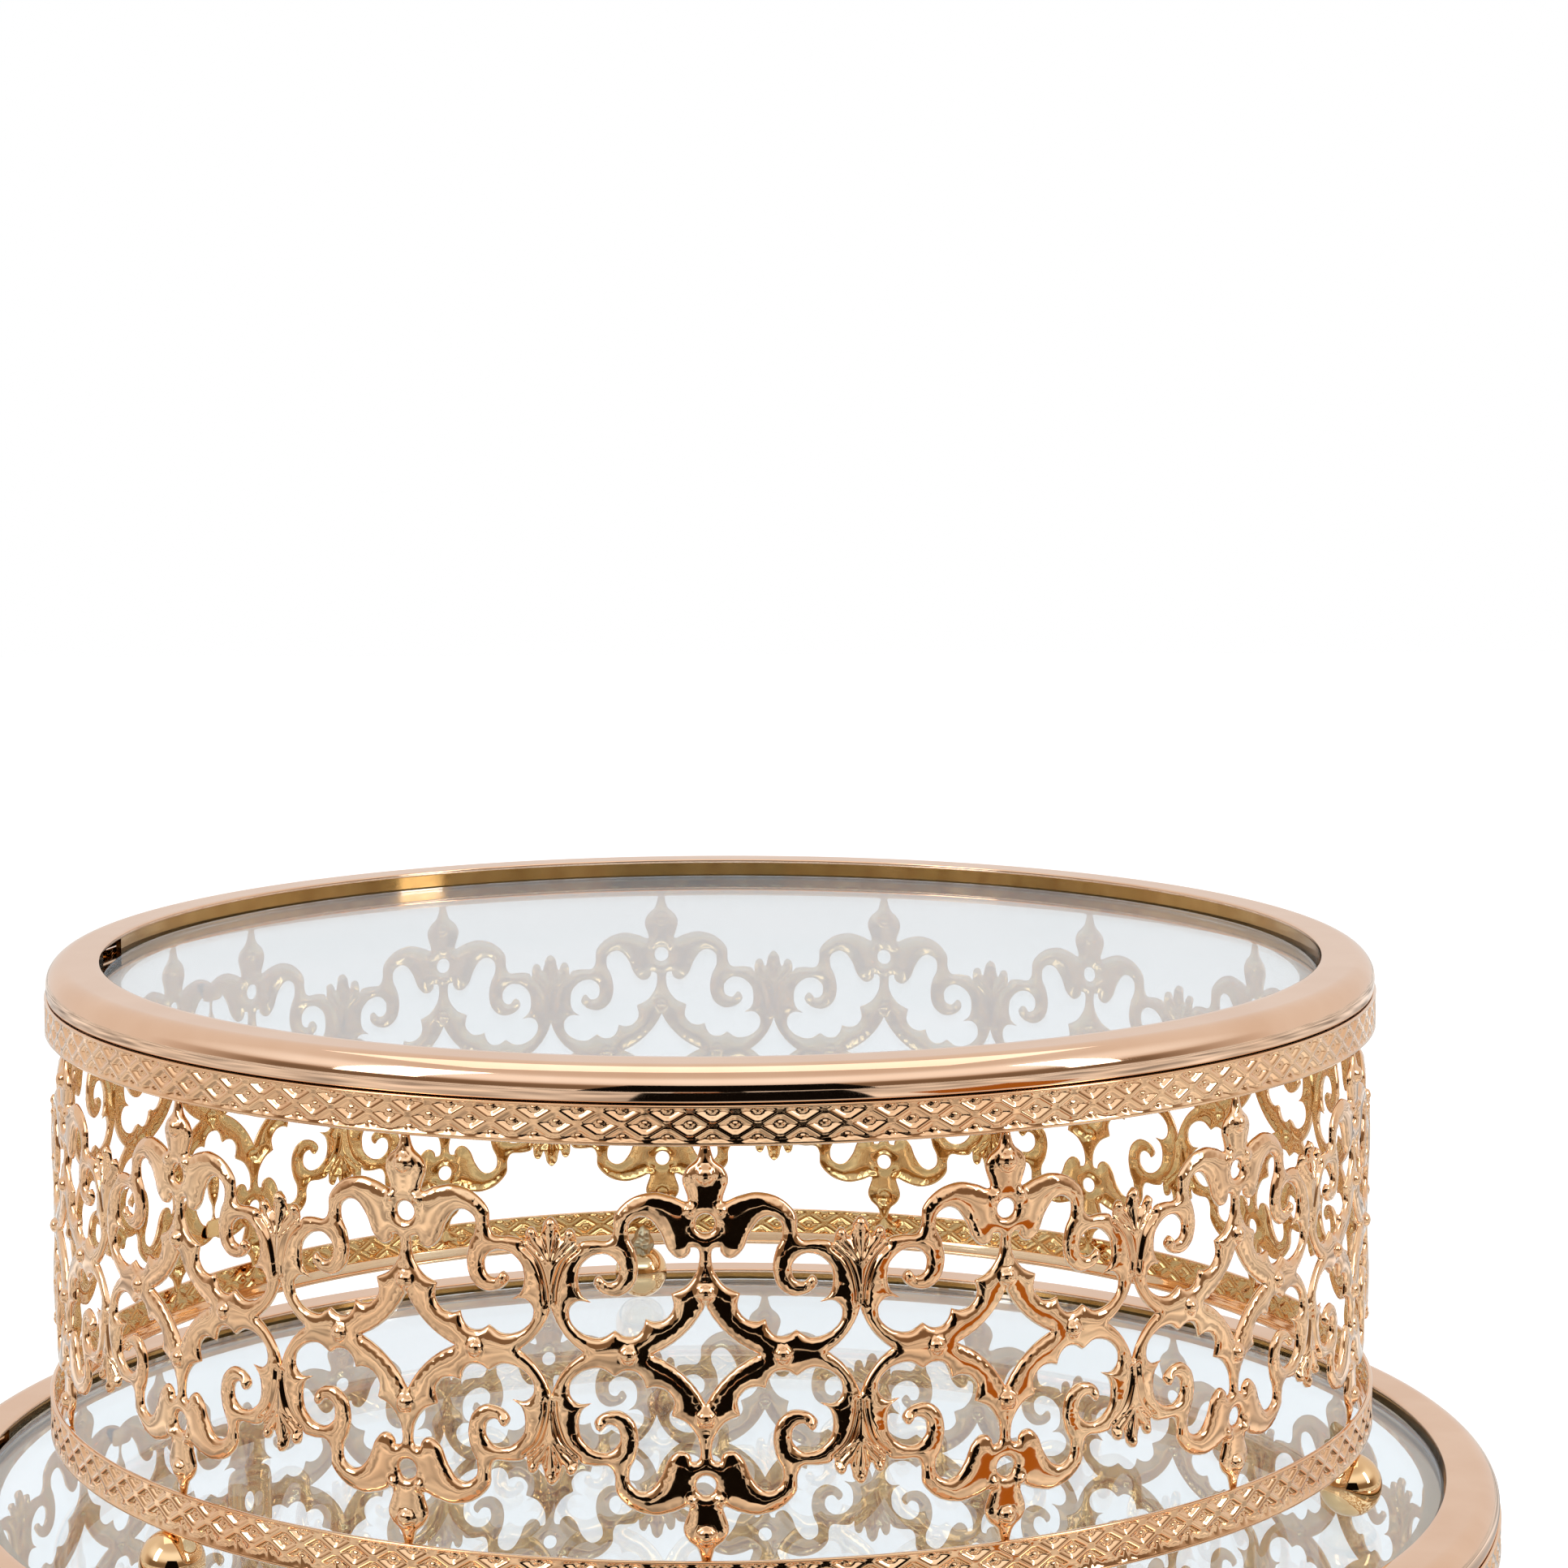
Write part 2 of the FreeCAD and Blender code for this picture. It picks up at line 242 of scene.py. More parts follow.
def details(points, edge, half):
    """Bosses, pearls, the shell's ribs and the grooves, as heights to add."""
    s, t = points.T
    dome = np.zeros(len(points))
    for centre_s, centre_t, radius, height in BOSSES:
        away = np.hypot(s - centre_s, t - centre_t) / radius
        dome = np.maximum(dome, height * np.sqrt(np.clip(1 - away**2, 0, 1)))
    angle = np.arctan2(half - s, t - FAN_APEX_UP)
    reach = np.hypot(half - s, t - FAN_APEX_UP)
    weight = np.clip((reach - FAN_START) / 2, 0, 1) * (angle < 1.8 * FAN_RIB_ANGLE)
    across = 2 * np.abs((angle / FAN_RIB_ANGLE + 0.5) % 1 - 0.5)
    ribs = FAN_RIB_DEPTH * weight * (1 - np.sqrt(1 - 0.95 * across**2)) / 0.78
    cut = ribs * (t > FAN_APEX_UP)
    for depth, width, line in GROOVES:
        away = distance_to(points, [groove_line(line)]) / width
        cut = np.maximum(cut, depth * (1 - np.clip(away, 0, 1) ** 2) ** 2)
    return dome - cut * np.clip(edge / 0.5, 0, 1)


def softened(heights, faces, loose):
    """Averages neighbouring heights where the sheet may move."""
    pairs = np.vstack([faces[:, [0, 1]], faces[:, [1, 2]], faces[:, [2, 0]]])
    a, b = np.vstack([pairs, pairs[:, ::-1]]).T
    beside = np.maximum(np.bincount(a, minlength=len(heights)), 1)
    for _ in range(SOFTENING):
        mean = np.bincount(a, weights=heights[b], minlength=len(heights)) / beside
        heights = np.where(loose, (heights + mean) / 2, heights)
    return heights


def relief(points, faces, outlines, half):
    """Height of the strip's front and back face at its mesh points."""
    edge = distance_to(points, outlines)
    front, back = base_heights(edge)
    front = softened(front, faces, edge > SOFT_FROM)
    back = softened(back, faces, edge > SOFT_FROM)
    added = details(points, edge, half)
    return front + added, back + BACK_DETAIL * added


def offset_rows(outlines):
    """Points beside each outline, at the distances where the relief needs them."""
    rows = []
    for line in outlines:
        along = np.gradient(line, axis=0)
        across = np.column_stack([-along[:, 1], along[:, 0]])
        across /= np.maximum(np.hypot(*across.T), 1e-9)[:, None]
        for row in ROWS:
            for side in (1, -1):
                moved = line + side * row * across
                true = distance_to(moved, outlines)
                rows.append(moved[true > 0.96 * row])
    return np.vstack(rows)


def boss_rings():
    rings = []
    for s, t, radius, _ in BOSSES:
        rings.append([(s, t)])
        for share, count in ((0.4, 6), (0.75, 10), (0.93, 12), (1.02, 12)):
            angles = np.arange(count) * tau / count
            ring = radius * share * np.exp(1j * angles)
            rings.append(np.column_stack([s + ring.real, t + ring.imag]))
    return np.vstack(rings)


def land_points(half):
    """Even triangular fill."""
    across = np.arange(0, half, FILL)[None, :]
    rows = np.arange(int(TOP / (FILL * sin(pi / 3))))[:, None]
    s = across + FILL / 2 * (rows % 2)
    t = rows * FILL * sin(pi / 3) + 0 * across
    return np.column_stack([s.ravel(), t.ravel()])


def fan_points(half):
    """Points along the shell's ribs and along the grooves."""
    angles = np.arange(15)[:, None] * FAN_RIB_ANGLE / 8
    reach = np.arange(FAN_START, FAN_REACH, 0.45)[None, :]
    s = half - reach * np.sin(angles)
    t = FAN_APEX_UP + reach * np.cos(angles)
    rows = [np.column_stack([s.ravel(), t.ravel()])]
    for _, width, line in GROOVES:
        middle = groove_line(line)
        along = np.gradient(middle, axis=0)
        across = np.column_stack([-along[:, 1], along[:, 0]])
        across /= np.hypot(*across.T)[:, None]
        rows += [middle + share * width * across for share in (0, -0.35, 0.35, -0.7, 0.7, -1, 1)]
    return np.vstack(rows)


def thinned(groups, kept):
    """Points of (points, nearest) groups that stay clear of the kept ones and each other."""
    cell = max(nearest for _, nearest in groups)
    cells = {}

    def key(point):
        return int(point[0] // cell), int(point[1] // cell)

    for point in kept:
        cells.setdefault(key(point), []).append(point)
    chosen = []
    for points, nearest in groups:
        for point in points:
            column, row = key(point)
            beside = [other for i in (-1, 0, 1) for j in (-1, 0, 1)
                      for other in cells.get((column + i, row + j), ())]
            if all(hypot(point[0] - other[0], point[1] - other[1]) >= nearest
                   for other in beside):
                cells.setdefault((column, row), []).append(point)
                chosen.append(point)
    return chosen


def quarter_mesh(half):
    """Flat triangles of a quarter repeat's metal, with relief heights."""
    outlines, openings = quarter_outlines(half)
    corners = np.array([(0, 0), (half, 0), (half, TOP), (0, TOP), (0, 0)], dtype=float)
    chains = [spaced(corners[k:k + 2], BORDER_STEP) for k in range(4)]
    chains.append(spaced(np.array([(half / 2, 0), (half / 2, TOP)]), BORDER_STEP))
    fixed, links = [], []
    for line in chains + outlines:
        first = len(fixed)
        fixed.extend(line)
        links.extend((k, k + 1) for k in range(first, len(fixed) - 1))

    def usable(points):
        low = BORDER_MARGIN
        within = (points[:, 0] > low) & (points[:, 0] < half - low)
        within &= (points[:, 1] > low) & (points[:, 1] < TOP - low)
        points = points[within]
        return points[in_metal(points, openings)]

    lands = usable(land_points(half))
    lands = lands[distance_to(lands, outlines) > LAND_FROM]
    shapes = (boss_rings(), offset_rows(outlines), fan_points(half))
    groups = [(usable(points), clear) for points, clear in zip(shapes, CLEARANCES)]
    groups.append((lands, LAND_CLEARANCE))
    free = thinned(groups, fixed)
    flat, _, faces, *_ = delaunay_2d_cdt(
        [Vector(point) for point in fixed + free], links, [], 0, 1e-5)
    flat = np.array([tuple(point) for point in flat])
    faces = np.array([face for face in faces if len(face) == 3])
    a, b, c = (flat[faces[:, k]] for k in range(3))
    doubled = np.abs(np.cross(b - a, c - a))
    faces = faces[(doubled > 1e-4) & in_metal((a + b + c) / 3, openings)]
    front, back = relief(flat, faces, outlines, half)
    return flat, faces, front, back


def merged(points, keys, faces):
    """Points with equal keys as one point, and the faces between what is left."""
    _, chosen, index = np.unique(keys, axis=0, return_index=True, return_inverse=True)
    return points[chosen], index.ravel()[faces]


def welded(points, faces):
    """Merges points that fall together in the flat strip and drops the faces that vanish."""
    points, faces = merged(points, np.round(points[:, :2], 3), faces)
    a, b, c = faces.T
    return points, faces[(a != b) & (b != c) & (a != c)]


def whole_repeat(half):
    """One repeat: rows of (along, up, front, back), and triangles that face outwards."""
    flat, faces, front, back = quarter_mesh(half)
    quarter = np.column_stack([flat, front, back])
    points, triangles = [], []
    for k, (along, up) in enumerate(((1, 1), (-1, 1), (-1, -1), (1, -1))):
        points.append(quarter * (along, up, 1, 1))
        turned = faces if along * up > 0 else faces[:, ::-1]
        triangles.append(turned + k * len(quarter))
    return welded(np.vstack(points), np.vstack(triangles))


def cut_repeat(repeat, low, high):
    points, faces = repeat
    middle = points[faces][:, :, 0].mean(axis=1)
    return points, faces[(middle > low) & (middle < high)]


def joined(parts):
    """Several repeats as one, each moved along the strip."""
    points, faces, count = [], [], 0
    for (own_points, own_faces), shift in parts:
        points.append(own_points + (shift, 0, 0, 0))
        faces.append(own_faces + count)
        count += len(own_points)
    points, faces = welded(np.vstack(points), np.vstack(faces))
    used = np.unique(faces)
    index = np.full(len(points), -1)
    index[used] = np.arange(len(used))
    return points[used], index[faces]


def closed_sheet(points, faces):
    """Front, back and edge triangles of a strip, as (along, up, height)."""
    count = len(points)
    front = points[:, [0, 1, 2]]
    back = points[:, [0, 1, 3]]
    edges = np.vstack([faces[:, [0, 1]], faces[:, [1, 2]], faces[:, [2, 0]]])
    lone = ~np.isin(edges[:, 0] * count + edges[:, 1], edges[:, 1] * count + edges[:, 0])
    a, b = edges[lone].T
    wall = np.vstack([np.column_stack([a, a + count, b]),
                      np.column_stack([b, a + count, b + count])])
    triangles = np.vstack([faces, faces[:, ::-1] + count, wall])
    # sides picks the material: the back faces take the second one, the painted shade of the inner
    # side
    sides = np.concatenate([np.zeros(len(faces)), np.ones(len(faces)), np.zeros(len(wall))])
    return np.vstack([front, back]), triangles, sides


def bent(points, radius, start, middle):
    """Strip points on a drum: along becomes an angle from start degrees."""
    angle = radians(start) + points[:, 0] / radius
    reach = radius - RELIEF + points[:, 2]
    return np.column_stack([reach * np.sin(angle), -reach * np.cos(angle),
                            middle + points[:, 1]])


def gallery(tier, materials):
    """The strip's ring in sectors, open at the seam like the real one."""
    radius = box_mm(f"{tier}_top_band")[1][0] - GALLERY_INSET
    low, high = box_mm(f"{tier}_gallery")
    repeats = GALLERY_REPEATS[tier]
    length = tau * radius / repeats
    repeat = whole_repeat(length / 2)
    ends = {0: (-length / 4, length), int(repeats): (-length, length / 4)}
    steps = list(range(int(repeats) + 1))
    for number in range(ceil(len(steps) / SECTOR_REPEATS)):
        group = steps[number * SECTOR_REPEATS:(number + 1) * SECTOR_REPEATS]
        parts = []
        for step in group:
            own = cut_repeat(repeat, *ends[step]) if step in ends else repeat
            parts.append((own, step * length))
        points, triangles, sides = closed_sheet(*joined(parts))
        points = bent(points, radius, FIRST_MEDALLION[tier], (low[2] + high[2]) / 2)
        sector = mesh_object(f"{tier}_gallery_sector_{number + 1}", points, triangles, sides)
        finish_piece(sector, f"{tier}_frame", "plated_wall", materials, f"{tier}_gallery")


def finish_piece(piece, body, slot, materials, *nodes):
    for material in materials:
        piece.data.materials.append(material)
    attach(piece, body)
    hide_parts(*nodes)


# ---------------------------------------------------------------- bands of diamonds

DIAMOND = (7.35, 2.25)       # length, and half the height
DIAMOND_PHASE = 0.5
LATTICE_ROWS = (-10, 13)
LATTICE_DEPTH = 3.2          # band top to the middle beads
GROUND = 0.62                # the pattern's ground lies this far inside the band radius
RIDGE = (0, 0.24, 0.43, 0.62, 0.81, 1)        # mesh rows from a ridge to the beads
RIDGE_HEIGHT = (0.57, 0.55, 0.22, 0.0, 0.0, 0.0)
BEAD = (0.72, 0.5)           # radius and height
BAND_GAUGE = 0.28
HEM = 2.4                    # depth of the base band's turned-in edge

SPLICE_INSET = 2.25          # band radius to the splice plates
PLATE_POINTS = 64
PLATE_ROWS = 15
PLATES = (                   # place in repeats, height, half sizes, half sizes of the opening
    (-0.25, 23.7, 3.0, 1.9, (0, 0)),
    (-0.25, -23.7, 3.0, 1.9, (0, 0)),
    (-1.0, 0.0, 6.0, 8.0, (1.4, 2.3)),
)
PLATE_FRONT = -0.3           # behind the strip's land
PLATE_RIDGE = 0.3

RIM_WIDTH = 10.4             # band radius to the edge of the opening
RIM_SETBACK = 0.3
RIM_SHOULDER = 4.0
RIM_SHEET = 0.8
RIM_POINTS = 480
WALL_CURVE = 12.0            # radius of the slightly rounded outer wall

FEET = ("front_left", "front_right", "rear")
SOLDER_SETBACK = 4.4
SOLDER_SIZE = (2.6, 4.2)     # half width and half height


def lattice_line(number):
    """Lattice coordinate of a numbered mesh line: beads on even values, ridges on odd ones."""
    steps = len(RIDGE) - 1
    whole, part = np.divmod(number, steps)
    ridge = np.array(RIDGE)
    return whole + np.where(whole % 2, ridge[part], 1 - ridge[steps - part])


def lattice_relief(u, v):
    """Height over the ground: flat ridges on odd lattice lines, beads on even crossings."""
    def to_even(value):
        return (value + 1) % 2 - 1

    def ridge_height(value):
        return np.interp(1 - np.abs(value), RIDGE, RIDGE_HEIGHT)

    near_u, near_v = to_even(u), to_even(v)
    ridge = np.maximum(ridge_height(near_u), ridge_height(near_v))
    away_x = DIAMOND[0] / 2 * (near_u + near_v) / 2
    away_z = DIAMOND[1] * (near_u - near_v) / 2
    radius, height = BEAD
    bead = np.clip(1 - (np.hypot(away_x, away_z) / radius) ** 2, 0, 1)
    return np.maximum(ridge, height * bead)


def ring_faces(rows, count, slant):
    """Triangles between neighbouring rows of a closed ring of points."""
    made = []
    here = np.arange(count)
    there = (here + 1) % count
    for row in range(rows - 1):
        a, b = row * count + here, row * count + there
        c, d = (row + 1) * count + here, (row + 1) * count + there
        if slant:
            made += [np.column_stack([a, b, d]), np.column_stack([a, d, c])]
        else:
            made += [np.column_stack([a, b, c]), np.column_stack([b, d, c])]
    return np.vstack(made)


def ring(reach, level, angle):
    """Points of one or more rings; reach and level may be single values."""
    reach, level = np.broadcast_arrays(reach, level, angle)[:2]
    return np.column_stack([(reach * np.sin(angle)).ravel(), (-reach * np.cos(angle)).ravel(),
                            level.ravel()])


def band_lip(radius, inner, top):
    """The band's upper edge, from the front over to the back."""
    return [(radius - 0.12, top - 0.5), (radius, top - 0.32), (radius, top - 0.12),
            (radius - 0.12, top), (radius - 0.75, top), (inner, top - 0.12)]


def band_foot(radius, inner, bottom, hem):
    """The band's lower edge, from the front to the back; a hem is turned in and up."""
    foot = [(radius - 0.1, bottom + 0.72), (radius, bottom + 0.55), (radius, bottom + 0.25),
            (radius - 0.25, bottom)]
    if not hem:
        return foot + [(radius - 0.75, bottom), (inner, bottom + 0.2), (inner, bottom + 0.5)]
    turn = radius - hem
    return foot + [(turn, bottom), (turn - 0.2, bottom + 0.35), (turn, bottom + 0.7),
                   (turn + 0.7, bottom + 0.8), (turn + 0.7, bottom + 1.5),
                   (inner - 0.45, bottom + 1.65), (inner - 0.4, bottom + 2.4),
                   (inner - 0.1, bottom + 2.6)]


def stacked(blocks):
    """Blocks of (points, triangles, side) as one."""
    triangles, sides, first = [], [], 0
    for points, faces, side in blocks:
        triangles.append(faces + first)
        sides.append(np.full(len(faces), side))
        first += len(points)
    points = np.vstack([block[0] for block in blocks])
    return points, np.vstack(triangles), np.concatenate(sides)


def band(node, tier, materials, hem=0.0):
    """Strip pressed with a lattice of ridges and beads, and turned in at the bottom where it has a
    hem.
    """
    low, high = box_mm(node)
    radius = high[0]
    top, bottom = high[2], low[2]
    diamonds = round(tau * radius / DIAMOND[0])
    count = diamonds * 2 * (len(RIDGE) - 1)
    rows = np.arange(LATTICE_ROWS[0], LATTICE_ROWS[1] + 1)[:, None]
    steps = np.arange(count)[None, :]
    u = lattice_line(steps + 0 * rows)
    v = lattice_line(steps - rows)
    angle = tau * ((u + v) / 4 + DIAMOND_PHASE) / diamonds
    up = top - LATTICE_DEPTH + DIAMOND[1] * (u - v) / 2
    front = radius - GROUND + lattice_relief(u, v)

    def edge_rings(profile, row_angle):
        return np.vstack([ring(reach, level, row_angle) for reach, level in profile])

    inner = radius - GROUND - BAND_GAUGE
    lip = band_lip(radius, inner, top)
    foot = band_foot(radius, inner, bottom, hem)
    face = ring(front, up, angle)
    back = ring(front - BAND_GAUGE, up, angle)
    over = np.vstack([face[-count:], edge_rings(lip, angle[-1]), back[-count:]])
    under = np.vstack([back[:count], edge_rings(foot[::-1], angle[0]), face[:count]])
    lattice = ring_faces(len(rows), count, True)
    points, triangles, sides = stacked((
        (face, lattice, 0),
        # the back takes the second material, the painted shade of the inner side
        (back, lattice[:, ::-1], 1),
        (over, ring_faces(len(lip) + 2, count, False), 0),
        (under, ring_faces(len(foot) + 2, count, False), 0),
    ))
    points, triangles = merged(points, np.round(points, 4), triangles)
    made = mesh_object(f"{node}_embossed", points, triangles, sides)
    finish_piece(made, f"{tier}_frame", "plated_wall", materials, node)


def rim_profile(low, high, inner):
    """Closed outline of the rim's section: up the outside, over the top and back underneath."""
    outer, top, bottom = high[0], high[2], low[2]
    bend = top - RIM_SHOULDER
    drop = np.linspace(bend - bottom - 0.12, 0, 9)[:-1]
    wall = [outer - drop**2 / (2 * WALL_CURVE), bend - drop]
    turn = np.linspace(0, pi / 2, 24)
    shoulder = [outer - RIM_SHOULDER * (1 - np.cos(turn)), bend + RIM_SHOULDER * np.sin(turn)]
    across = np.linspace(outer - RIM_SHOULDER - 0.3, inner + 0.2, 6)
    flange = [across, top + 0 * across]
    edge = np.array([(inner + 0.05, top - 0.05), (inner, top - 0.2),
                     (inner, top - RIM_SHEET + 0.1), (inner + 0.1, top - RIM_SHEET)]).T
    back = turn[::-1]
    hollow = RIM_SHOULDER - RIM_SHEET
    inside = [outer - RIM_SHOULDER + hollow * np.cos(back), bend + hollow * np.sin(back)]
    lip = np.array([(outer - RIM_SHEET, bottom + 0.1), (outer - RIM_SHEET + 0.1, bottom),
                    (outer - 0.3, bottom), (wall[0][0], wall[1][0])]).T
    return np.hstack([wall, shoulder, flange, edge, inside, lip]).T


def rim(tier, material):
    low, high = box_mm(f"{tier}_rim")
    inner = high[0] + RIM_SETBACK - RIM_WIDTH
    profile = rim_profile(low, high, inner)
    angles = np.arange(RIM_POINTS) * tau / RIM_POINTS
    points = np.vstack([ring(reach, level, angles) for reach, level in profile])
    faces = ring_faces(len(profile), RIM_POINTS, False)
    points, faces = merged(points, np.round(points, 4), faces)
    made = mesh_object(f"{tier}_rolled_rim", points, faces)
    finish_piece(made, f"{tier}_frame", "plated_rim", (material,), f"{tier}_rim")


def solder_lumps(tier, material):
    """Two-lobed lumps of solder over the balls, as they set."""
    low, high = box_mm(f"{tier}_foot_solder")
    reach = box_mm(f"{tier}_base_band")[1][0] - SOLDER_SETBACK
    size = (SOLDER_SIZE[0], SOLDER_SIZE[0], SOLDER_SIZE[1])
    sheet = bmesh.new()
    for place in FEET:
        ball_low, ball_high = box_mm(f"{tier}_foot_{place}")
        across = Vector((*(ball_low + ball_high)[:2], 0)).normalized()
        centre = across * reach + Vector((0, 0, (low[2] + high[2]) / 2))
        lump = bmesh.ops.create_icosphere(sheet, subdivisions=4, radius=1.0)["verts"]
        for vertex in lump:
            along = vertex.co.normalized()
            lobes = 0.86 + 0.16 * cos(2 * along.z * pi) + 0.28 * noise.noise(along * 2.2 + centre)
            shape = Vector([part * half for part, half in zip(along, size)])
            vertex.co = (centre + lobes * shape) * MM
    mesh = bpy.data.meshes.new(f"{tier}_solder_lumps")
    sheet.to_mesh(mesh)
    sheet.free()
    mesh.shade_smooth()
    made = bpy.data.objects.new(mesh.name, mesh)
    bpy.context.scene.collection.objects.link(made)
    finish_piece(made, f"{tier}_frame", "solder", (material,), f"{tier}_foot_solder")


def plate(half_width, half_height, hole):
    """Thin plate with an oval opening, ridges round it, as a strip with front and back heights."""
    angles = np.arange(PLATE_POINTS) * tau / PLATE_POINTS
    share = np.linspace(0, 1, PLATE_ROWS)[:, None]

    def row(wave, size, opening):
        border = size * np.sign(wave) * np.abs(wave) ** 0.4
        return (opening * wave + share * (border - opening * wave)).ravel()

    s = row(np.cos(angles), half_width, hole[0])
    t = row(np.sin(angles), half_height, hole[1])
    ridges = np.sin(2.5 * pi * share + 0 * angles).ravel() ** 2 * (hole[0] > 0)
    points = np.column_stack([s, t, 0 * s, PLATE_FRONT - PLATE_RIDGE * ridges])
    return welded(points, ring_faces(PLATE_ROWS, PLATE_POINTS, False)[:, ::-1])


def splice(tier, materials):
    """Two ties behind the seam and a patch over the strip's last waist."""
    radius = box_mm(f"{tier}_top_band")[1][0] - SPLICE_INSET
    low, high = box_mm(f"{tier}_gallery")
    for number, (repeats, up, half_width, half_height, hole) in enumerate(PLATES, 1):
        points, triangles, sides = closed_sheet(*plate(half_width, half_height, hole))
        start = FIRST_MEDALLION[tier] + repeats * 360 / GALLERY_REPEATS[tier]
        points = bent(points, radius + RELIEF, start, (low[2] + high[2]) / 2 + up)
        made = mesh_object(f"{tier}_splice_plate_{number}", points, triangles, sides)
        finish_piece(made, f"{tier}_frame", "plated_wall", materials, f"{tier}_gallery_splice")


# ---------------------------------------------------------------- materials

# Noise textures: scale and detail
METAL_CLOUD = (55.0, 4.0)
METAL_HAZE = (420.0, 3.0)
GLASS_CLOUD = (24.0, 6.0)
WAVE_DETAIL = 1.5
TINT_SPAN = (0.35, 0.65)     # noise where a tint starts and ends its change
COAT_ROUGHNESS = 0.03
GLASS_SURFACE = {
    "Transmission Weight": 0.95,
    "Roughness": 0.0,
    "IOR": 1.5,
    "Sheen Weight": 0.6,
    "Sheen Roughness": 0.3,
    "Sheen Tint": (0.82, 0.91, 1.0, 1),
}


def new_material(name):
    material = bpy.data.materials.new(name)
    material.use_nodes = True
    nodes = material.node_tree.nodes
    nodes.clear()
    shader = nodes.new("ShaderNodeBsdfPrincipled")
    output = nodes.new("ShaderNodeOutputMaterial")
    material.node_tree.links.new(shader.outputs[0], output.inputs[0])
    return material, nodes, material.node_tree.links, shader


def noise_texture(nodes, links, vector, scale, detail):
    """Output of a noise texture; detail is its number of octaves."""
    texture = nodes.new("ShaderNodeTexNoise")
    texture.inputs["Scale"].default_value = scale
    texture.inputs["Detail"].default_value = detail
    links.new(vector, texture.inputs["Vector"])
    return texture.outputs["Fac"]


def clouded_tint(nodes, links, cloud, deep, light, shader):
    """Base colour that goes between two tints with the cloud."""
    tint = nodes.new("ShaderNodeValToRGB")
    for element, place, colour in zip(tint.color_ramp.elements, TINT_SPAN, (deep, light)):
        element.position = place
        element.color = (*colour, 1)
    links.new(cloud, tint.inputs["Fac"])
    links.new(tint.outputs["Color"], shader.inputs["Base Color"])


def plating(name, deep, light, rough, wave, wave_scale, stretch=1.0, coat=0.0):
    """Bright plated metal: uneven tint, faint haze and a slightly wavy surface.

    rough is the least and the most roughness, and wave the height of the waves in mm.
    stretch makes the waves that many times longer round the stand than up it.
    """
    material, nodes, links, shader = new_material(name)
    shader.inputs["Metallic"].default_value = 1.0
    shader.inputs["Coat Weight"].default_value = coat
    shader.inputs["Coat Roughness"].default_value = COAT_ROUGHNESS
    place = nodes.new("ShaderNodeTexCoord").outputs["Object"]
    cloud = noise_texture(nodes, links, place, *METAL_CLOUD)
    clouded_tint(nodes, links, cloud, deep, light, shader)
    span = nodes.new("ShaderNodeMapRange")
    span.inputs["To Min"].default_value, span.inputs["To Max"].default_value = rough
    links.new(noise_texture(nodes, links, place, *METAL_HAZE), span.inputs["Value"])
    links.new(span.outputs["Result"], shader.inputs["Roughness"])
    longer = nodes.new("ShaderNodeMapping")
    longer.inputs["Scale"].default_value = (1, 1, stretch)
    links.new(place, longer.inputs["Vector"])
    ripple = noise_texture(nodes, links, longer.outputs["Vector"], wave_scale, WAVE_DETAIL)
    bump = nodes.new("ShaderNodeBump")
    bump.inputs["Strength"].default_value = 1.0
    bump.inputs["Distance"].default_value = wave * MM
    links.new(ripple, bump.inputs["Height"])
    links.new(bump.outputs["Normal"], shader.inputs["Normal"])
    return material


def clear_glass():
    """Clear plate: cool tint with faint clouds, and a film that shows at a low angle."""
    material, nodes, links, shader = new_material("plate_glass")
    for socket, value in GLASS_SURFACE.items():
        shader.inputs[socket].default_value = value
    place = nodes.new("ShaderNodeTexCoord").outputs["Object"]
    cloud = noise_texture(nodes, links, place, *GLASS_CLOUD)
    clouded_tint(nodes, links, cloud, (0.77, 0.885, 0.96), (0.81, 0.91, 0.985), shader)
    return material


def paint(node, material):
    """Gives a CAD node a material of this scene."""
    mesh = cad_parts[node].data
    mesh.materials.clear()
    mesh.materials.append(material)


# ---------------------------------------------------------------- stage, light and camera

PLAIN_ROUGHNESS = 0.9
PATCH_SPAN = (0.3, 0.7)      # noise where the glow starts and ends its change
PATCH_GLOW = (1, 0.97, 0.93, 1)


def plain(name, colour, glow):
    """Material of one colour, without a sheen at low angles, that also gives off light."""
    material, _, _, shader = new_material(name)
    shader.inputs["Base Color"].default_value = (*colour, 1)
    shader.inputs["Specular IOR Level"].default_value = 0.0
    shader.inputs["Roughness"].default_value = PLAIN_ROUGHNESS
    shader.inputs["Emission Color"].default_value = (*glow, 1)
    shader.inputs["Emission Strength"].default_value = 1.0
    return material


def card(name, corners, material):
    mesh = bpy.data.meshes.new(name)
    mesh.from_pydata([Vector(corner) for corner in corners], [], [(0, 1, 2, 3)])
    mesh.materials.append(material)
    made = bpy.data.objects.new(name, mesh)
    bpy.context.scene.collection.objects.link(made)
    return made


def soft_box(name, place, size, power, mirrored):
    light = bpy.data.lights.new(name, "AREA")
    light.shape = "RECTANGLE"
    light.size, light.size_y = size
    light.energy = power
    made = bpy.data.objects.new(name, light)
    made.location = place
    sight = Vector(LIGHTS_AIM) - Vector(place)
    made.rotation_euler = sight.to_track_quat("-Z", "Y").to_euler()
    made.visible_camera = False
    made.visible_glossy = mirrored
    bpy.context.scene.collection.objects.link(made)


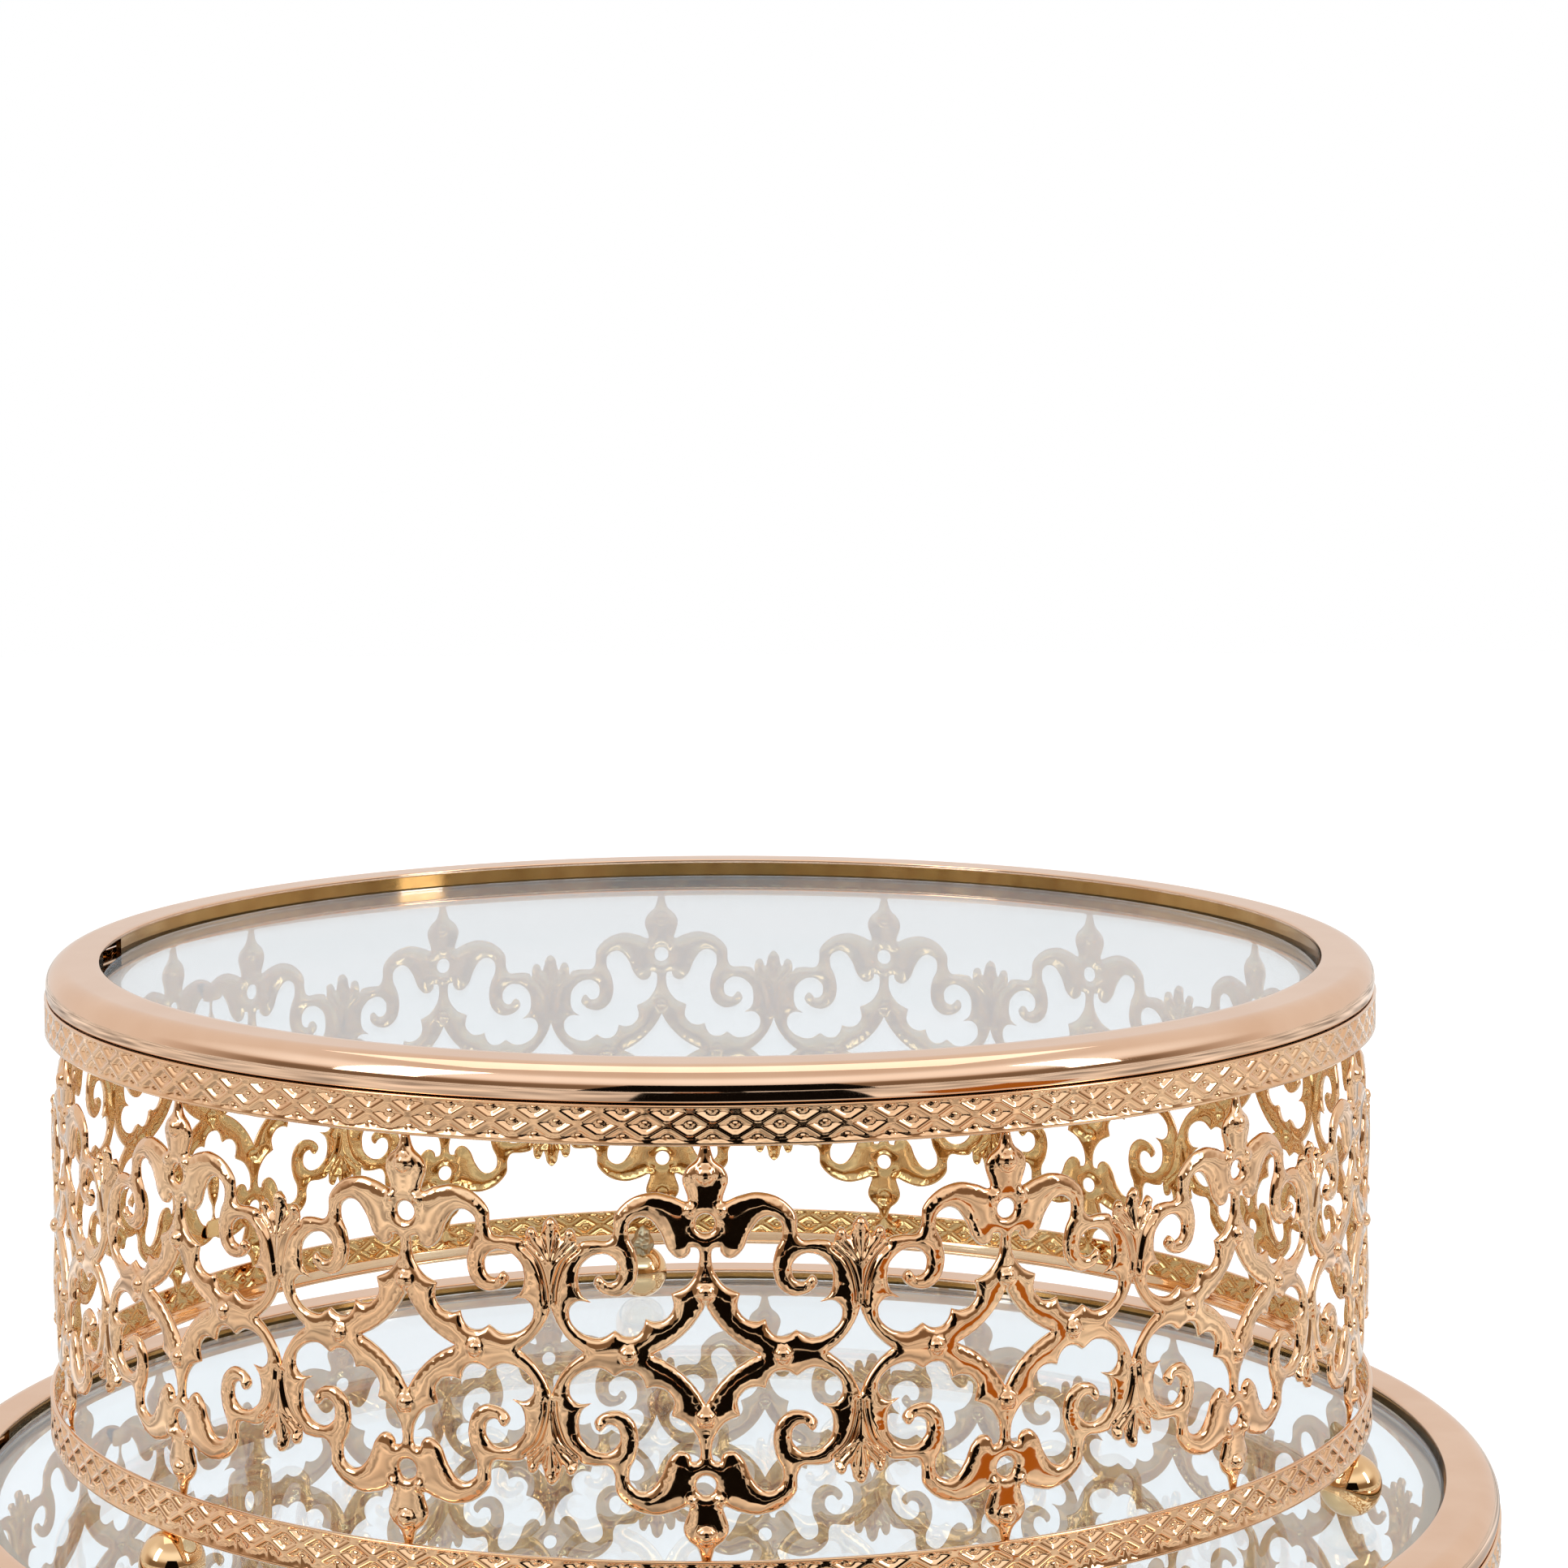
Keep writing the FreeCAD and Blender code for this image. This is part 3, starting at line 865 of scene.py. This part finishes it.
def mottled(name, low, high, scale):
    """Uneven glow, so that the metal mirrors soft patches."""
    material, nodes, links, shader = new_material(name)
    shader.inputs["Base Color"].default_value = (0, 0, 0, 1)
    shader.inputs["Specular IOR Level"].default_value = 0.0
    shader.inputs["Emission Color"].default_value = PATCH_GLOW
    place = nodes.new("ShaderNodeTexCoord").outputs["Object"]
    patches = noise_texture(nodes, links, place, scale, 1.0)
    span = nodes.new("ShaderNodeMapRange")
    span.inputs["From Min"].default_value, span.inputs["From Max"].default_value = PATCH_SPAN
    span.inputs["To Min"].default_value = low
    span.inputs["To Max"].default_value = high
    links.new(patches, span.inputs["Value"])
    links.new(span.outputs["Result"], shader.inputs["Emission Strength"])
    return material


def flag(name, corners, material):
    """Card that shows only in reflections."""
    made = card(name, corners, material)
    made.visible_camera = False
    made.visible_diffuse = False
    made.visible_transmission = False
    made.visible_shadow = False


def lying(left, right, near, far, level):
    """Corners of a level card."""
    return [(left, far, level), (right, far, level), (right, near, level), (left, near, level)]


WORLD_PROFILE = (            # height of a direction, and brightness in front of the stand
    (0.0, 0.22), (0.2, 0.25), (0.34, 0.8), (0.6, 1.15), (0.85, 0.75), (1.0, 0.7),
)
WORLD_BACK = 0.82
WORLD_DARK_TINT = (1.0, 0.62, 0.32, 1)
WORLD_BRIGHT_TINT = (0.98, 0.985, 1.0, 1)
WORLD_TURN = (-0.25, 0.3)    # directions, from front to back, where one sky gives way to the other
FLOOR_HALF = 3.0
FLOOR_WHITE = (0.93, 0.93, 0.93)
FLOOR_SHINE = (0.3, 0.3, 0.3)
FLOOR_GLOW = (0.32, 1.12)    # the floor as the metal mirrors it
FLOOR_PATCHES = 5.0
DARK_GLOWS = {"black": (0.004, 0.003, 0.002), "amber": (0.40, 0.13, 0.015)}
DARK_CARDS = (               # in front of the stand, each lying one a little above the last
    ("flag_wedge", "black", [(-0.2, -1.06, 0.003), (-0.1, -0.43, 0.003), (0.2, -0.43, 0.003),
                             (0.38, -1.06, 0.003)]),
    ("flag_right", "amber", lying(0.3, 0.55, -0.54, -0.34, 0.004)),
    ("flag_far", "amber", lying(-0.12, 0.02, -1.2, -1.06, 0.005)),
    ("flag_far_black", "black", lying(0.02, 0.1, -1.3, -1.06, 0.006)),
    ("flag_far_right", "black", lying(0.4, 0.55, -1.3, -1.05, 0.006)),
    ("flag_standing", "black", [(-0.5, -1.3, 0), (0.62, -1.3, 0), (0.45, -1.3, 0.6),
                                (-0.3, -1.3, 0.6)]),
)
LIGHTS = (                   # name, place, size, power, and whether the metal mirrors it
    ("key_left", (-1.3, -0.9, 1.1), (0.5, 1.2), 7, True),
    ("fill_right", (1.4, -0.7, 0.9), (0.3, 1.0), 5, True),
    ("over_front", (0.1, -1.1, 0.95), (1.4, 0.3), 4, False),
    ("top", (0, 0.3, 1.8), (1.6, 1.2), 5, True),
)
LIGHTS_AIM = (0, 0, 0.12)


def surroundings():
    """White to the camera; to everything else bright behind, and banded in front."""
    world = bpy.data.worlds.new("studio")
    bpy.context.scene.world = world
    world.use_nodes = True
    nodes, links = world.node_tree.nodes, world.node_tree.links
    nodes.clear()
    output = nodes.new("ShaderNodeOutputWorld")
    mix = nodes.new("ShaderNodeMixShader")
    ray = nodes.new("ShaderNodeLightPath")
    direction = nodes.new("ShaderNodeTexCoord")
    split = nodes.new("ShaderNodeSeparateXYZ")
    links.new(direction.outputs["Generated"], split.inputs[0])
    profile = nodes.new("ShaderNodeFloatCurve")
    curve = profile.mapping.curves[0]
    profile.mapping.clip_max_y = 2.0
    curve.points[0].location = WORLD_PROFILE[0]
    curve.points[1].location = WORLD_PROFILE[-1]
    for place in WORLD_PROFILE[1:-1]:
        curve.points.new(*place)
    profile.mapping.update()
    links.new(split.outputs["Z"], profile.inputs["Value"])
    depth = nodes.new("ShaderNodeMapRange")
    depth.inputs["From Min"].default_value, depth.inputs["From Max"].default_value = WORLD_TURN
    links.new(split.outputs["Y"], depth.inputs["Value"])
    level = nodes.new("ShaderNodeMix")
    level.data_type = "FLOAT"
    links.new(depth.outputs["Result"], level.inputs["Factor"])
    links.new(profile.outputs["Value"], level.inputs["A"])
    level.inputs["B"].default_value = WORLD_BACK
    tint = nodes.new("ShaderNodeMix")
    tint.data_type = "RGBA"
    links.new(level.outputs["Result"], tint.inputs["Factor"])
    tint.inputs["A"].default_value = WORLD_DARK_TINT
    tint.inputs["B"].default_value = WORLD_BRIGHT_TINT
    soft = nodes.new("ShaderNodeBackground")
    links.new(tint.outputs["Result"], soft.inputs["Color"])
    links.new(level.outputs["Result"], soft.inputs["Strength"])
    white = nodes.new("ShaderNodeBackground")
    white.inputs["Color"].default_value = (1, 1, 1, 1)
    links.new(ray.outputs["Is Camera Ray"], mix.inputs[0])
    links.new(soft.outputs[0], mix.inputs[1])
    links.new(white.outputs[0], mix.inputs[2])
    links.new(mix.outputs[0], output.inputs[0])


def studio():
    whole = (-FLOOR_HALF, FLOOR_HALF, -FLOOR_HALF, FLOOR_HALF)
    card("floor", lying(*whole, 0), plain("pale_floor", FLOOR_WHITE, FLOOR_SHINE))
    flag("flag_floor", lying(*whole, 0.001), mottled("floor_glow", *FLOOR_GLOW, FLOOR_PATCHES))
    dark = {kind: plain(f"flag_{kind}", (0, 0, 0), glow) for kind, glow in DARK_GLOWS.items()}
    for name, kind, corners in DARK_CARDS:
        flag(name, corners, dark[kind])
    surroundings()
    for light in LIGHTS:
        soft_box(*light)


CAMERA_PLACE = (0.0, -0.7525, 0.3218)
CAMERA_YAW, CAMERA_PITCH, CAMERA_ROLL = 1.079, 4.325, -0.124
CAMERA_LENS = 89.5
CAMERA_SHIFT = -0.1072


def camera():
    data = bpy.data.cameras.new("camera")
    data.sensor_width = 36.0
    data.lens = CAMERA_LENS
    data.shift_y = CAMERA_SHIFT
    data.clip_start = 0.01
    made = bpy.data.objects.new("camera", data)
    turn = Matrix.Rotation(radians(-CAMERA_YAW), 4, "Z")
    turn = turn @ Matrix.Rotation(radians(90 - CAMERA_PITCH), 4, "X")
    turn = turn @ Matrix.Rotation(radians(CAMERA_ROLL), 4, "Z")
    made.matrix_world = Matrix.Translation(CAMERA_PLACE) @ turn
    bpy.context.scene.collection.objects.link(made)
    bpy.context.scene.camera = made


# ---------------------------------------------------------------- the model

rose = plating("rose_gold", (0.88, 0.515, 0.27), (0.95, 0.62, 0.355), (0.03, 0.09),
               0.15, 45.0, coat=1.0)
# Painted sheen: the rim's plating is paler and less saturated than rose_gold, standing in for the
# whitish grazing reflection on its flange.
rim_plating_painted_sheen = plating("rim_gold_painted_sheen", (0.86, 0.58, 0.40), (0.91, 0.64, 0.46), (0.03, 0.08),
                   0.08, 18.0, stretch=12.0)
# Painted shade: the same plating as rose_gold, darker and yellower, on the inner faces of strips,
# bands and plates and on the seat ring. It stands in for the shade inside the stand and the gold's
# reflections there.
inner_gold_painted_shade = plating("inner_gold_painted_shade", (0.71, 0.41, 0.155), (0.82, 0.51, 0.225), (0.04, 0.11),
                     0.03, 90.0)
# Painted shade: a much darker copy of the gold plating for the collar, for the shade it stands in
# under the rim.
collar_gold_painted_shade = plating("collar_gold_painted_shade", (0.44, 0.25, 0.08), (0.54, 0.31, 0.11), (0.05, 0.15),
                      0.03, 90.0)
ball_gold = plating("ball_gold", (0.86, 0.57, 0.29), (0.92, 0.64, 0.36), (0.02, 0.06),
                    0.02, 160.0)
solder_metal = plating("solder_metal", (0.42, 0.33, 0.2), (0.62, 0.5, 0.33), (0.2, 0.45),
                       0.3, 900.0)
glass_material = clear_glass()

for tier in TIERS:
    # The second material of each strip, band and plate is the painted shade of its inner face.
    gallery(tier, (rose, inner_gold_painted_shade))
    band(f"{tier}_top_band", tier, (rose, inner_gold_painted_shade))
    band(f"{tier}_base_band", tier, (rose, inner_gold_painted_shade), HEM)
    rim(tier, rim_plating_painted_sheen)
    paint(f"{tier}_collar", collar_gold_painted_shade)
    paint(f"{tier}_seat_ring", inner_gold_painted_shade)
    splice(tier, (rose, inner_gold_painted_shade))
    paint(f"{tier}_glass", glass_material)
    solder_lumps(tier, solder_metal)
    for place in FEET:
        paint(f"{tier}_foot_{place}", ball_gold)

studio()
camera()
bpy.context.scene.view_settings.view_transform = "Standard"
